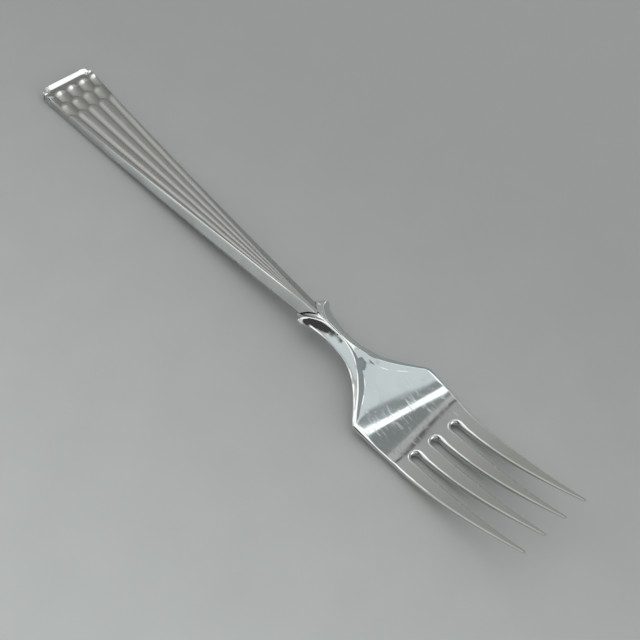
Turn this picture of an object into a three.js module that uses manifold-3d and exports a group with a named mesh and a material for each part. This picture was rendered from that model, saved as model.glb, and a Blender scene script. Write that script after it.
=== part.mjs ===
// A dinner fork with a hollow reeded handle, lying on its back as it lies on a table.
// Millimetres, +Z up. The handle end points to -X and the tines point to +X.
// The origin is on the table, under the middle of the fork.

import * as THREE from 'three';
import { mergeVertices } from 'three/addons/utils/BufferGeometryUtils.js';
import Module from 'manifold-3d';

// Lengths along the fork
const HANDLE_LENGTH = 122.5;
const NECK_LENGTH = 28.7;
const BOWL_LENGTH = 15;
const TINE_LENGTH = 36.8;

// Handle in plan: a straight taper with round corners and a pointed nose
const HANDLE_END_WIDTH = 18.2;
const HANDLE_NOSE_WIDTH = 5.6;
const HANDLE_CORNER = 3.6;
const NOSE_POINT = 5;
const NOSE_POINT_PINCH = 0.9;
const NOSE_POINT_FULLNESS = 0.25;

// Handle from the side: flat on the table at the end, then rising to the neck
const FLAT_LENGTH = 17.5;
const NOSE_RISE = 5;
const RISE_POWER = 1.5;
const CROWN_RISE_END = 1.5;
const CROWN_RISE_NOSE = 2.2;
const BACK_DEPTH_END = 1.1;
const BACK_DEPTH_NOSE = 1.9;
const BACK_FLAT_SHARE = 0.7;
const BACK_CORNER_OUT = 0.6;
const BACK_CORNER_DOWN = 0.72;

// Reeds and the band of scales at the end of the handle
const RIDGE_MARGIN = 0.6;
const RIDGE_FLANK_SAG = 0.42;
const REED_COUNT = 5;
const REED_DEPTH = 0.5;
const REED_FADE_POWER = 0.7;
const LIP_LENGTH = 2.6;
const LIP_RISE = 0.15;
const LIP_FALL = 0.75;
const LIP_STEP = 0.2;
const SCALE_ROW_COUNT = 3;
const SCALE_START = 3.4;
const SCALE_PITCH = 6;
const SCALE_NOSE = 2;
const SCALE_TAIL_DROP = 0.6;

// Shells, filler and tang
const WALL = 0.5;
const SIDE_WALL = 0.65;
const HOLLOW_CROWN_SHARE = 0.25;
const END_WALL = 0.8;
const SEAM_GAP = 0.12;
const FILLER_CLEARANCE = 0.2;
const FILLER_SETBACK = 10;
const TANG_LENGTH = 60;
const TANG_WIDTH = 2.2;
const TANG_THICKNESS = 1.2;
const TANG_END_WIDTH = 1.6;
const TANG_END_THICKNESS = 0.8;

// Collar with two horns where the head takes the handle's nose
const MOUTH_GAP = 0.35;
const HORN_REACH = 2.25;
const HORN_SETBACK = 1.9;
const HORN_BACK = 4.2;
const HORN_DROP = 0.6;
const HORN_VALLEY = 1;

// Neck: a ridge that falls to both sides and splits into the two rims of the bowl
const NECK_WIDTH = 5.3;
const WAIST_FROM_NOSE = 9;
const CREST_FROM_NOSE = 2;
const WAIST_DROP = 0.37;
const FLARE_DROP = 1.6;
const NECK_THICKNESS = 4;
const FLANK_WIDTH = 2.4;
const FLANK_DROP = 2;
const FLANK_SAG = 0.12;
const SHOULDER_FLANK = 0.35;
const RIM_WIDTH = 2.2;

// Bowl
const SHOULDER_OVERHANG = 0.95;
const SHOULDER_ROUND = 1.6;
const SHOULDER_RISE = 1.15;
const SIDE_RISE = 0.23;
const PLATE_THICKNESS = 2.5;
const EDGE_CHAMFER = 0.25;
const EDGE_WALL = 1.4;
const EDGE_WALL_SHARE = 0.7;
const DISH_DEPTH = 0.55;

// Tines
const TINE_COUNT = 4;
const TINE_PITCH = 6.55;
const TINE_TIP_PITCH = 6.35;
const TINE_ROOT_WIDTH = 4.35;
const TINE_MIDDLE_WIDTH = 3.1;
const TINE_MIDDLE_SHARE = 0.45;
const TINE_TIP_WIDTH = 0.6;
const TINE_TIP_THICKNESS = 0.7;
const TINE_TIP_RISE = 11.8;
const TINE_SWEEP_POWER = 1.57;

// Facets
const SCALE_STEPS = 22;
const REED_ROWS = 13;
const REED_STEPS = 6;
const HEAD_ROWS = 52;
const HORN_ROWS = 6;
const DISH_STEPS = 8;
const CURVE_STEPS = 10;

const wasm = await Module();
wasm.setup();

const { lerp, clamp, smoothstep } = THREE.MathUtils;

// Stations along the fork, measured from the end of the handle
const noseX = HANDLE_LENGTH;
const mouthX = noseX - NOSE_POINT;
const hornX = noseX - HORN_SETBACK;
const hornBackX = noseX - HORN_BACK;
const waistX = noseX + WAIST_FROM_NOSE;
const shoulderX = noseX + NECK_LENGTH;
const rootX = shoulderX + BOWL_LENGTH;
const tipX = rootX + TINE_LENGTH;
const overallLength = tipX;

// Widths and heights that more than one form shares
const ridgeEndWidth = HANDLE_END_WIDTH - 2 * RIDGE_MARGIN;
const hornSpread = HANDLE_NOSE_WIDTH + 2 * HORN_REACH;
const bowlWidth = (TINE_COUNT - 1) * TINE_PITCH + TINE_ROOT_WIDTH;
const shoulderWidth = bowlWidth + 2 * SHOULDER_OVERHANG;
const slotWidth = TINE_PITCH - TINE_ROOT_WIDTH;
const crestTop = BACK_DEPTH_END + NOSE_RISE + CROWN_RISE_NOSE;
const bellyTop = DISH_DEPTH + PLATE_THICKNESS;
const cutTop = bellyTop + TINE_TIP_RISE + PLATE_THICKNESS;
const cutBottom = -PLATE_THICKNESS;

// Solid helpers

function toSolid(geometry) {
  const bare = geometry.clone();
  bare.deleteAttribute('normal');
  bare.deleteAttribute('uv');
  const merged = mergeVertices(bare, 1e-4);
  return new wasm.Manifold(new wasm.Mesh({
    numProp: 3,
    vertProperties: new Float32Array(merged.attributes.position.array),
    triVerts: new Uint32Array(merged.index.array),
  }));
}

function toGeometry(solid) {
  const mesh = solid.getMesh();
  const geometry = new THREE.BufferGeometry();
  geometry.setAttribute('position', new THREE.BufferAttribute(mesh.vertProperties, 3));
  geometry.setIndex(new THREE.BufferAttribute(mesh.triVerts, 1));
  geometry.computeVertexNormals();
  return geometry;
}

// A closed loft through sections that lie across the fork. Each section is a loop of
// [across, up] pairs, anticlockwise when seen from the tines.
function loft(stations, sectionAt) {
  const loops = stations.map((x) => sectionAt(x));
  const count = loops[0].length;
  const positions = loops.flatMap((loop, row) => loop.flatMap(([y, z]) => [stations[row], y, z]));
  const index = [];
  for (let row = 0; row < stations.length - 1; row += 1) {
    for (let i = 0; i < count; i += 1) {
      const a = row * count + i;
      const b = row * count + (i + 1) % count;
      index.push(a, b, b + count, a, b + count, a + count);
    }
  }
  const lastRow = (stations.length - 1) * count;
  const cap = (loop) => THREE.ShapeUtils.triangulateShape(loop.map(([y, z]) => new THREE.Vector2(y, z)), []);
  for (const [a, b, c] of cap(loops[0])) {
    index.push(c, b, a);
  }
  for (const [a, b, c] of cap(loops[stations.length - 1])) {
    index.push(lastRow + a, lastRow + b, lastRow + c);
  }
  const geometry = new THREE.BufferGeometry();
  geometry.setAttribute('position', new THREE.Float32BufferAttribute(positions, 3));
  geometry.setIndex(index);
  return geometry;
}

// An upright prism over a plan outline
function prism(shape) {
  const geometry = new THREE.ExtrudeGeometry(shape, {
    depth: cutTop - cutBottom,
    bevelEnabled: false,
    curveSegments: CURVE_STEPS,
  });
  geometry.translate(0, 0, cutBottom);
  return toSolid(geometry);
}

function spaced(from, to, steps) {
  return Array.from({ length: steps + 1 }, (_, i) => lerp(from, to, i / steps));
}

// A smooth curve through a few [x, value] points, read off at any x
function through(points) {
  const slopes = points.map((point, i) => {
    const before = points[Math.max(i - 1, 0)];
    const after = points[Math.min(i + 1, points.length - 1)];
    return (after[1] - before[1]) / (after[0] - before[0]);
  });
  return (x) => {
    const last = points.length - 2;
    const found = points.findIndex((point, i) => i <= last && x <= points[i + 1][0]);
    const i = found < 0 ? last : found;
    const [x0, y0] = points[i];
    const [x1, y1] = points[i + 1];
    const span = x1 - x0;
    const t = clamp((x - x0) / span, 0, 1);
    const start = (1 + 2 * t) * (1 - t) ** 2 * y0 + t * (1 - t) ** 2 * span * slopes[i];
    const end = t * t * (3 - 2 * t) * y1 + t * t * (t - 1) * span * slopes[i + 1];
    return start + end;
  };
}

// Handle: forms shared by the two shells and the filler

function handleHalfWidth(x) {
  return lerp(HANDLE_END_WIDTH, HANDLE_NOSE_WIDTH, x / mouthX) / 2;
}

function seamHeight(x) {
  const share = Math.max((x - FLAT_LENGTH) / (noseX - FLAT_LENGTH), 0);
  return BACK_DEPTH_END + NOSE_RISE * share ** RISE_POWER;
}

function crownRise(x) {
  return lerp(CROWN_RISE_END, CROWN_RISE_NOSE, x / noseX);
}

function backDepth(x) {
  const share = clamp((x - FLAT_LENGTH) / (noseX - FLAT_LENGTH), 0, 1);
  return lerp(BACK_DEPTH_END, BACK_DEPTH_NOSE, share);
}

function ridgeHalfWidth(x) {
  return Math.max(lerp(ridgeEndWidth, 0, x / noseX) / 2, WALL / 2);
}

function reedDepth(x) {
  return REED_DEPTH * (ridgeHalfWidth(x) / ridgeHalfWidth(0)) ** REED_FADE_POWER;
}

// Relief of the handle's front, from 0 in a groove to 1 on a crest. Across the handle,
// share runs from -1 to 1 between the two outer ridges, and the reeds fill it. Near the end
// the reeds break up into rows of scales, each row set half a reed aside from the last.
const reedShare = 2 / (REED_COUNT - 1);

function relief(x, share) {
  let height = 0;
  for (let row = 0; row < SCALE_ROW_COUNT; row += 1) {
    const along = x - SCALE_START - row * SCALE_PITCH;
    if (along <= 0) {
      continue;
    }
    const aside = row % 2 === 0 ? 0 : reedShare / 2;
    const offset = share - aside - reedShare * Math.round((share - aside) / reedShare);
    const nose = Math.sqrt(1 - (1 - Math.min(along / SCALE_NOSE, 1)) ** 2);
    const reach = Math.min(Math.abs(offset) / (reedShare / 2 * nose), 1);
    const isReed = row === SCALE_ROW_COUNT - 1;
    const tail = isReed ? 1 : Math.max(1 - SCALE_TAIL_DROP * along / SCALE_PITCH, 0);
    height = Math.max(height, nose * tail * Math.cos(reach * Math.PI / 2));
  }
  return height;
}

// The end of the handle is a plain lip, raised at the edge, that slopes down to the scales
function frontHeight(x, share) {
  const top = seamHeight(x) + crownRise(x);
  if (x <= LIP_LENGTH) {
    return top + LIP_RISE - LIP_FALL * x / LIP_LENGTH;
  }
  return top - reedDepth(x) * (1 - relief(x, share));
}

const reedShares = spaced(1, -1, (REED_COUNT - 1) * REED_STEPS);

function frontSection(x) {
  const half = handleHalfWidth(x);
  const ridge = ridgeHalfWidth(x);
  const seam = seamHeight(x) + SEAM_GAP / 2;
  const flankX = lerp(ridge, half, 0.5);
  const flankZ = lerp(frontHeight(x, 1), seam, RIDGE_FLANK_SAG);
  const reeds = reedShares.map((share) => [share * ridge, frontHeight(x, share)]);
  return [[-half, seam], [half, seam], [flankX, flankZ], ...reeds, [-flankX, flankZ]];
}

// Height of the inside of the front shell, a wall below the grooves
function frontInside(x) {
  return seamHeight(x) + crownRise(x) - reedDepth(x) - WALL;
}

function innerHalfWidth(x) {
  return handleHalfWidth(x) - SIDE_WALL;
}

function backSection(x) {
  const half = handleHalfWidth(x);
  const seam = seamHeight(x) - SEAM_GAP / 2;
  const low = seamHeight(x) - backDepth(x);
  const corner = lerp(seam, low, BACK_CORNER_DOWN);
  const cornerX = half * lerp(BACK_FLAT_SHARE, 1, BACK_CORNER_OUT);
  const flat = half * BACK_FLAT_SHARE;
  return [[half, seam], [-half, seam], [-cornerX, corner], [-flat, low], [flat, low], [cornerX, corner]];
}

// The hollow inside both shells, drawn in by a clearance for what fills it
function hollowSection(x, clearance) {
  const half = innerHalfWidth(x) - clearance;
  const crown = Math.max(ridgeHalfWidth(x) - WALL, half * HOLLOW_CROWN_SHARE) - clearance / 2;
  const flat = half * BACK_FLAT_SHARE;
  const top = frontInside(x) - clearance;
  const low = seamHeight(x) - backDepth(x) + WALL + clearance;
  const side = clamp(seamHeight(x), low, top);
  return [[half, side], [crown, top], [-crown, top], [-half, side], [-flat, low], [flat, low]];
}

// The pointed nose of the handle in plan, from one side to the other, set out by a gap
function nosePath(path, gap) {
  const half = handleHalfWidth(mouthX) + gap;
  const pinch = NOSE_POINT_PINCH + gap;
  const pinchX = mouthX + NOSE_POINT * NOSE_POINT_FULLNESS + gap;
  path.quadraticCurveTo(pinchX, -pinch, noseX + gap, 0);
  path.quadraticCurveTo(pinchX, pinch, mouthX, half);
}

function handleOutline() {
  const half = HANDLE_END_WIDTH / 2;
  const cornerHalf = handleHalfWidth(HANDLE_CORNER);
  const path = new THREE.Shape();
  path.moveTo(0, half - HANDLE_CORNER);
  path.lineTo(0, HANDLE_CORNER - half);
  path.quadraticCurveTo(0, -cornerHalf, HANDLE_CORNER, -cornerHalf);
  path.lineTo(mouthX, -handleHalfWidth(mouthX));
  nosePath(path, 0);
  path.lineTo(HANDLE_CORNER, cornerHalf);
  path.quadraticCurveTo(0, cornerHalf, 0, half - HANDLE_CORNER);
  return path;
}

const scaleEnd = SCALE_START + (SCALE_ROW_COUNT - 1) * SCALE_PITCH + SCALE_NOSE;
const frontStations = [
  ...spaced(0, LIP_LENGTH, 3),
  ...spaced(LIP_LENGTH + LIP_STEP, scaleEnd, SCALE_STEPS),
  ...spaced(scaleEnd, noseX + NOSE_POINT, REED_ROWS).slice(1),
];
const backStations = [0, HANDLE_CORNER, ...spaced(FLAT_LENGTH, noseX + NOSE_POINT, REED_ROWS)];
const hollowStations = [END_WALL, HANDLE_CORNER, ...spaced(FLAT_LENGTH, noseX + NOSE_POINT * 2, REED_ROWS)];

const handlePlan = prism(handleOutline());
const hollow = toSolid(loft(hollowStations, (x) => hollowSection(x, 0)));

function frontShell() {
  return toSolid(loft(frontStations, frontSection)).subtract(hollow).intersect(handlePlan);
}

function backShell() {
  return toSolid(loft(backStations, backSection)).subtract(hollow).intersect(handlePlan);
}

// Tang: a flat tapered bar that follows the middle of the hollow

function hollowMiddle(x) {
  const top = frontInside(x);
  const low = seamHeight(x) - backDepth(x) + WALL;
  return (top + low) / 2;
}

const tangEndX = noseX - TANG_LENGTH;
const tangRootX = noseX + NOSE_POINT;

function tangSection(x, clearance) {
  const share = clamp((x - tangEndX) / (noseX - tangEndX), 0, 1);
  const half = lerp(TANG_END_WIDTH, TANG_WIDTH, share) / 2 + clearance;
  const thick = lerp(TANG_END_THICKNESS, TANG_THICKNESS, share) / 2 + clearance;
  const middle = hollowMiddle(x);
  return [[half, middle - thick], [half, middle + thick], [-half, middle + thick], [-half, middle - thick]];
}

function tang(clearance) {
  const stations = spaced(tangEndX - clearance, tangRootX, REED_ROWS);
  return toSolid(loft(stations, (x) => tangSection(x, clearance)));
}

// Filler: cement that fills the hollow and grips the tang
function filler() {
  const first = END_WALL + FILLER_CLEARANCE;
  const last = mouthX - FILLER_SETBACK;
  const stations = [first, HANDLE_CORNER, ...spaced(FLAT_LENGTH, last, REED_ROWS)];
  const inset = FILLER_CLEARANCE + WALL;
  const core = toSolid(loft(stations, (x) => hollowSection(x, FILLER_CLEARANCE)));
  const cornerCut = new THREE.Shape();
  const half = HANDLE_END_WIDTH / 2;
  cornerCut.moveTo(0, half - HANDLE_CORNER - inset);
  cornerCut.lineTo(0, HANDLE_CORNER + inset - half);
  cornerCut.lineTo(HANDLE_CORNER + inset, -half);
  cornerCut.lineTo(noseX, -half);
  cornerCut.lineTo(noseX, half);
  cornerCut.lineTo(HANDLE_CORNER + inset, half);
  return core.intersect(prism(cornerCut)).subtract(tang(FILLER_CLEARANCE));
}

// Head: outer edge in plan, from the tip of a horn to the shoulder and on to the slot roots

const hornCurve = new THREE.CubicBezierCurve(
  new THREE.Vector2(hornX, hornSpread / 2),
  new THREE.Vector2(lerp(hornX, waistX, 0.3), lerp(NECK_WIDTH, hornSpread, 0.3) / 2),
  new THREE.Vector2(lerp(hornX, waistX, 0.65), NECK_WIDTH / 2),
  new THREE.Vector2(waistX, NECK_WIDTH / 2),
);
const flareCurve = new THREE.CubicBezierCurve(
  new THREE.Vector2(waistX, NECK_WIDTH / 2),
  new THREE.Vector2(lerp(waistX, shoulderX, 0.46), NECK_WIDTH / 2),
  new THREE.Vector2(lerp(waistX, shoulderX, 0.74), lerp(NECK_WIDTH, shoulderWidth, 0.48) / 2),
  new THREE.Vector2(shoulderX, shoulderWidth / 2),
);
const shoulderStart = flareCurve.getPoint(1 - SHOULDER_ROUND / NECK_LENGTH);
const shoulderEndWidth = lerp(shoulderWidth, bowlWidth, SHOULDER_ROUND / BOWL_LENGTH);
const shoulderCurve = new THREE.QuadraticBezierCurve(
  shoulderStart,
  new THREE.Vector2(shoulderX, shoulderWidth / 2),
  new THREE.Vector2(shoulderX + SHOULDER_ROUND, shoulderEndWidth / 2),
);
const edgePoints = [
  ...hornCurve.getPoints(CURVE_STEPS),
  ...flareCurve.getPoints(2 * CURVE_STEPS).filter((point, i) => i > 0 && point.x < shoulderStart.x),
  ...shoulderCurve.getPoints(CURVE_STEPS),
  new THREE.Vector2(rootX, bowlWidth / 2),
];

function edgeHalfWidth(x) {
  const found = edgePoints.findIndex((point) => point.x >= x);
  if (found <= 0) {
    return found === 0 ? edgePoints[0].y : edgePoints[edgePoints.length - 1].y;
  }
  const before = edgePoints[found - 1];
  const after = edgePoints[found];
  return lerp(before.y, after.y, (x - before.x) / (after.x - before.x));
}

// Tines in plan: straight middle lines, sides that draw in to a round tip
const tinePlaces = spaced((TINE_COUNT - 1) / 2, -(TINE_COUNT - 1) / 2, TINE_COUNT - 1);

function tineSide(path, place, side, outward) {
  const middlePitch = lerp(TINE_PITCH, TINE_TIP_PITCH, TINE_MIDDLE_SHARE);
  const root = place * TINE_PITCH + side * TINE_ROOT_WIDTH / 2;
  const middle = place * middlePitch + side * TINE_MIDDLE_WIDTH / 2;
  const tip = place * TINE_TIP_PITCH + side * TINE_TIP_WIDTH / 2;
  const startX = rootX + slotWidth / 2;
  const middleX = lerp(rootX, tipX, TINE_MIDDLE_SHARE);
  const endX = tipX - TINE_TIP_WIDTH / 2;
  const hipX = lerp(startX, middleX, 0.5);
  const hip = lerp(root, middle, 0.8);
  const taperX = lerp(middleX, endX, 0.75);
  const taper = lerp(middle, tip, 0.3);
  if (outward) {
    path.lineTo(startX, root);
    path.quadraticCurveTo(hipX, hip, middleX, middle);
    path.quadraticCurveTo(taperX, taper, endX, tip);
  } else {
    path.quadraticCurveTo(taperX, taper, middleX, middle);
    path.quadraticCurveTo(hipX, hip, startX, root);
  }
}

function headOutline() {
  const path = new THREE.Shape();
  const backHalf = handleHalfWidth(mouthX) + MOUTH_GAP;
  path.moveTo(mouthX, backHalf);
  path.lineTo(hornBackX, backHalf);
  for (const point of edgePoints) {
    path.lineTo(point.x, point.y);
  }
  tinePlaces.forEach((place, i) => {
    const tipRadius = TINE_TIP_WIDTH / 2;
    tineSide(path, place, 1, true);
    path.absarc(tipX - tipRadius, place * TINE_TIP_PITCH, tipRadius, Math.PI / 2, -Math.PI / 2, true);
    tineSide(path, place, -1, false);
    if (i < TINE_COUNT - 1) {
      const slotMiddle = (place - 0.5) * TINE_PITCH;
      path.absarc(rootX + slotWidth / 2, slotMiddle, slotWidth / 2, Math.PI / 2, 1.5 * Math.PI, false);
    }
  });
  for (const point of edgePoints.slice().reverse()) {
    path.lineTo(point.x, -point.y);
  }
  path.lineTo(hornBackX, -backHalf);
  path.lineTo(mouthX, -backHalf);
  nosePath(path, MOUTH_GAP);
  return path;
}

// Head from the side: the crest of the neck runs into the rim of the bowl and the tines
const neckHeight = through([
  [hornBackX, crestTop - HORN_DROP],
  [noseX + CREST_FROM_NOSE, crestTop],
  [waistX, crestTop - WAIST_DROP],
  [lerp(waistX, shoulderX, 0.5), crestTop - FLARE_DROP],
  [shoulderX, bellyTop + SHOULDER_RISE],
  [lerp(shoulderX, rootX, 0.6), bellyTop + SIDE_RISE],
  [rootX, bellyTop],
]);

function tineShare(x) {
  return clamp((x - rootX) / TINE_LENGTH, 0, 1);
}

function rimHeight(x) {
  return neckHeight(x) + TINE_TIP_RISE * tineShare(x) ** TINE_SWEEP_POWER;
}

const dishStartX = lerp(waistX, shoulderX, 0.35);
const dishFullX = lerp(shoulderX, rootX, 0.3);
const dishEndX = lerp(rootX, tipX, 0.4);

function dishDepth(x) {
  return DISH_DEPTH * smoothstep(x, dishStartX, dishFullX) * (1 - smoothstep(x, rootX, dishEndX));
}

function plateThickness(x) {
  const blade = lerp(PLATE_THICKNESS, TINE_TIP_THICKNESS, tineShare(x));
  return lerp(NECK_THICKNESS, blade, smoothstep(x, waistX, shoulderX));
}

// Across the head: the flank falls from the crest to the widest edge. It starts behind the
// horn, is narrow and level at the shoulder and fades out along the side of the bowl. The
// rim inside the crest is gone at the shoulder.
const splitX = lerp(waistX, shoulderX, 0.1);

function rimShare(x) {
  return smoothstep(x, hornX, hornX + FLANK_WIDTH) * (1 - smoothstep(x, splitX, shoulderX));
}

function flankShare(x) {
  const start = smoothstep(x, hornX, hornX + FLANK_WIDTH);
  const narrowed = lerp(1, SHOULDER_FLANK, smoothstep(x, splitX, shoulderX));
  return start * narrowed * (1 - smoothstep(x, shoulderX, rootX));
}

const dishShares = spaced(1, -1, DISH_STEPS);
const bellyShares = spaced(-1, 1, DISH_STEPS);

function headSection(x) {
  const edge = edgeHalfWidth(x);
  const flank = Math.min(FLANK_WIDTH * flankShare(x) + EDGE_CHAMFER, edge - EDGE_CHAMFER);
  const crest = edge - flank;
  const dish = crest - Math.min(RIM_WIDTH * rimShare(x) + EDGE_CHAMFER, crest / 2);
  const top = rimHeight(x);
  const drop = FLANK_DROP * rimShare(x) + EDGE_CHAMFER;
  const valley = HORN_VALLEY * (1 - smoothstep(x, hornBackX, noseX + CREST_FROM_NOSE));
  const hollowAt = (share) => top - (dishDepth(x) + valley) * (1 - share * share);
  const low = top - dishDepth(x) - plateThickness(x);
  const edgeTop = top - drop;
  const plainWall = Math.min(EDGE_WALL, plateThickness(x) * EDGE_WALL_SHARE);
  const wall = plainWall * (1 - EDGE_WALL_SHARE * rimShare(x));
  const edgeLow = Math.max(edgeTop - wall, low);
  const over = edge + EDGE_WALL;
  const flankMiddle = lerp(edge, crest, 0.5);
  const flankHeight = lerp(edgeTop, top, 0.5) - FLANK_SAG * drop;
  return [
    [-over, edgeLow],
    ...bellyShares.map((share) => [share * edge, lerp(low, edgeLow, share * share)]),
    [over, edgeLow],
    [over, edgeTop],
    [edge, edgeTop],
    [flankMiddle, flankHeight],
    [crest, top],
    ...dishShares.map((share) => [share * dish, hollowAt(share)]),
    [-crest, top],
    [-flankMiddle, flankHeight],
    [-edge, edgeTop],
    [-over, edgeTop],
  ];
}

function head() {
  const stations = [
    ...spaced(mouthX - MOUTH_GAP, noseX, HORN_ROWS),
    ...spaced(noseX, tipX + TINE_TIP_WIDTH, HEAD_ROWS).slice(1),
  ];
  const blank = toSolid(loft(stations, headSection));
  return blank.intersect(prism(headOutline())).add(tang(0));
}

// Finishes
const polishedSteel = new THREE.MeshStandardMaterial({ color: 0xc9cccb, roughness: 0.12, metalness: 1 });
const satinSteel = new THREE.MeshStandardMaterial({ color: 0xbcbdb8, roughness: 0.3, metalness: 1 });
const backSteel = new THREE.MeshStandardMaterial({ color: 0xc2c4c1, roughness: 0.2, metalness: 1 });
const cement = new THREE.MeshStandardMaterial({ color: 0x8a857a, roughness: 0.9, metalness: 0 });

function piece(name, solid, material) {
  const mesh = new THREE.Mesh(toGeometry(solid), material);
  mesh.name = name;
  return mesh;
}

const fork = new THREE.Group();
fork.add(piece('fork_head', head(), polishedSteel));
fork.add(piece('handle_front_shell', frontShell(), satinSteel));
fork.add(piece('handle_back_shell', backShell(), backSteel));
fork.add(piece('handle_filler', filler(), cement));
fork.position.x = -overallLength / 2;

export default fork;
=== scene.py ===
"""Dinner fork with a reeded hollow handle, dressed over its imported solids."""

import math

import bmesh
import bpy
from bpy.props import FloatProperty, FloatVectorProperty, PointerProperty
from mathutils import Matrix, Vector


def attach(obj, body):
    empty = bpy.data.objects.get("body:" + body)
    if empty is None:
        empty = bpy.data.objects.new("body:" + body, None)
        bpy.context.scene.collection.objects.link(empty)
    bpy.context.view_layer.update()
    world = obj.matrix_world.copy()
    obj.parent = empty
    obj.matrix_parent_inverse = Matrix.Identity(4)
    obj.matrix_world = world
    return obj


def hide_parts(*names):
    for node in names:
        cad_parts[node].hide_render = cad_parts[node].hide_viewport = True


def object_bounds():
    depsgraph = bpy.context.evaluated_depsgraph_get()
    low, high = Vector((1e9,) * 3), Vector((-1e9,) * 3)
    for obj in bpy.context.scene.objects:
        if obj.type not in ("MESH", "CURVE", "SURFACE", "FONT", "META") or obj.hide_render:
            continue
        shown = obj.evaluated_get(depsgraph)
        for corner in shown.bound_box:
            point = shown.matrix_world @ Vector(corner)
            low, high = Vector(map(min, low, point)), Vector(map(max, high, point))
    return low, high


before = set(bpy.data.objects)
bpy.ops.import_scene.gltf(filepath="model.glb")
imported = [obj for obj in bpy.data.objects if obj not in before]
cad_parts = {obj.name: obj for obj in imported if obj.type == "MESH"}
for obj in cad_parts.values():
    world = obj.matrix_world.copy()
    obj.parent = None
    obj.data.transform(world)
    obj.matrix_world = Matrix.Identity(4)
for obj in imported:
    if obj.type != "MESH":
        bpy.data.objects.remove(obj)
CAD_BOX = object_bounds()

bl_info = {
    "name": "Dinner fork",
    "version": (1, 0, 0),
    "blender": (4, 5, 0),
    "location": "View3D > Sidebar > Fork",
    "description": "Builds a polished dinner fork with a reeded handle on a pale floor",
    "category": "Object",
}

MM = 0.001
FORK_LENGTH = CAD_BOX[1].x - CAD_BOX[0].x


def length(name, description, default):
    """A size, kept in metres."""
    return FloatProperty(
        name=name, description=description, default=default, min=0.0, unit="LENGTH", subtype="DISTANCE"
    )


def colour(name, description, default):
    """A finish colour."""
    return FloatVectorProperty(
        name=name, description=description, default=default, size=4, min=0.0, max=1.0, subtype="COLOR"
    )


def roughness(name, description, default):
    """How rough a finish is."""
    return FloatProperty(
        name=name, description=description, default=default, min=0.0, max=1.0, subtype="FACTOR"
    )


class ForkSizes(bpy.types.PropertyGroup):
    """Sizes of the fork that a user would change."""

    handle_length: length("Handle length", "From the end of the handle to the point of its nose", 0.1225)
    handle_end_width: length("Handle end width", "Across the handle at its end", 0.0182)
    handle_nose_width: length("Handle nose width", "Across the handle where the nose starts", 0.0056)
    handle_corner: length("Handle corner", "Radius of the corners at the end of the handle", 0.0036)
    reed_depth: length("Reed depth", "Depth of the grooves between the reeds", 0.0005)
    scale_pitch: length("Scale pitch", "From one row of scales to the next", 0.006)
    wall: length("Wall", "Thickness of the handle's shells", 0.00045)
    seam_gap: length("Seam gap", "Gap between the two shells of the handle", 0.0001)
    mouth_gap: length("Mouth gap", "Gap between the handle's nose and the collar", 0.00012)
    edge_round: length("Edge round", "Radius of the edges of the tines and the bowl", 0.0003)
    tine_rise: length("Tine rise", "Height of the tips above the lowest part of the bowl", 0.0118)


class ForkFinishes(bpy.types.PropertyGroup):
    """Colours and polish of the fork that a user would change."""

    steel: colour("Polished steel", "Colour of the head", (0.74, 0.75, 0.745, 1.0))
    satin: colour("Reeded steel", "Colour of the handle's front", (0.475, 0.47, 0.454, 1.0))
    # Painted shade: the grooves' colour is darkened where shade falls in them
    groove_shade: colour("Groove", "Colour of the handle's grooves", (0.33, 0.32, 0.3, 1.0))
    back: colour("Plain steel", "Colour of the handle's back", (0.68, 0.685, 0.675, 1.0))
    cement: colour("Cement", "Colour of the filler in the handle", (0.34, 0.325, 0.29, 1.0))
    floor: colour("Floor", "Colour of the floor", (0.463, 0.466, 0.458, 1.0))
    polish: roughness("Polish", "Roughness of the head", 0.05)
    satin_polish: roughness("Reed polish", "Roughness of the reeds", 0.32)


# Small measures


def lerp(a, b, share):
    return a + (b - a) * share


def clamp(value, low=0.0, high=1.0):
    return max(low, min(high, value))


def ease(value, start, end):
    """0 before start, 1 after end and smooth between them."""
    share = clamp((value - start) / (end - start))
    return share * share * (3 - 2 * share)


def bell(value, middle, width):
    """1 in the middle, falling smoothly to 0 on both sides."""
    return math.exp(-(((value - middle) / width) ** 2))


def curve(xs, ys, slopes):
    """A smooth curve through points with the given slopes, read off at any x."""
    last = len(xs) - 1

    def read(x):
        x = clamp(x, xs[0], xs[-1])
        i = next(k for k in range(last) if x <= xs[k + 1] or k == last - 1)
        span = xs[i + 1] - xs[i]
        t = (x - xs[i]) / span
        start = (1 + 2 * t) * (1 - t) ** 2 * ys[i] + t * (1 - t) ** 2 * span * slopes[i]
        end = t * t * (3 - 2 * t) * ys[i + 1] + t * t * (t - 1) * span * slopes[i + 1]
        return start + end

    return read


def fair_line(*points):
    """A fair curve through (x, value) points, with no jump in its curvature."""
    xs, ys = zip(*points)
    last = len(xs) - 1
    spans = [xs[i + 1] - xs[i] for i in range(last)]
    steps = [(ys[i + 1] - ys[i]) / spans[i] for i in range(last)]
    bends = [0.0] * (last + 1)
    ratio = [0.0] * (last + 1)
    for i in range(1, last):
        pivot = 2 * (spans[i - 1] + spans[i]) - spans[i - 1] * ratio[i - 1]
        ratio[i] = spans[i] / pivot
        bends[i] = (6 * (steps[i] - steps[i - 1]) - spans[i - 1] * bends[i - 1]) / pivot
    for i in range(last - 1, 0, -1):
        bends[i] -= ratio[i] * bends[i + 1]
    slopes = [steps[i] - spans[i] * (2 * bends[i] + bends[i + 1]) / 6 for i in range(last)]
    return curve(xs, ys, [*slopes, steps[-1] + spans[-1] * bends[-2] / 6])


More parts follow.
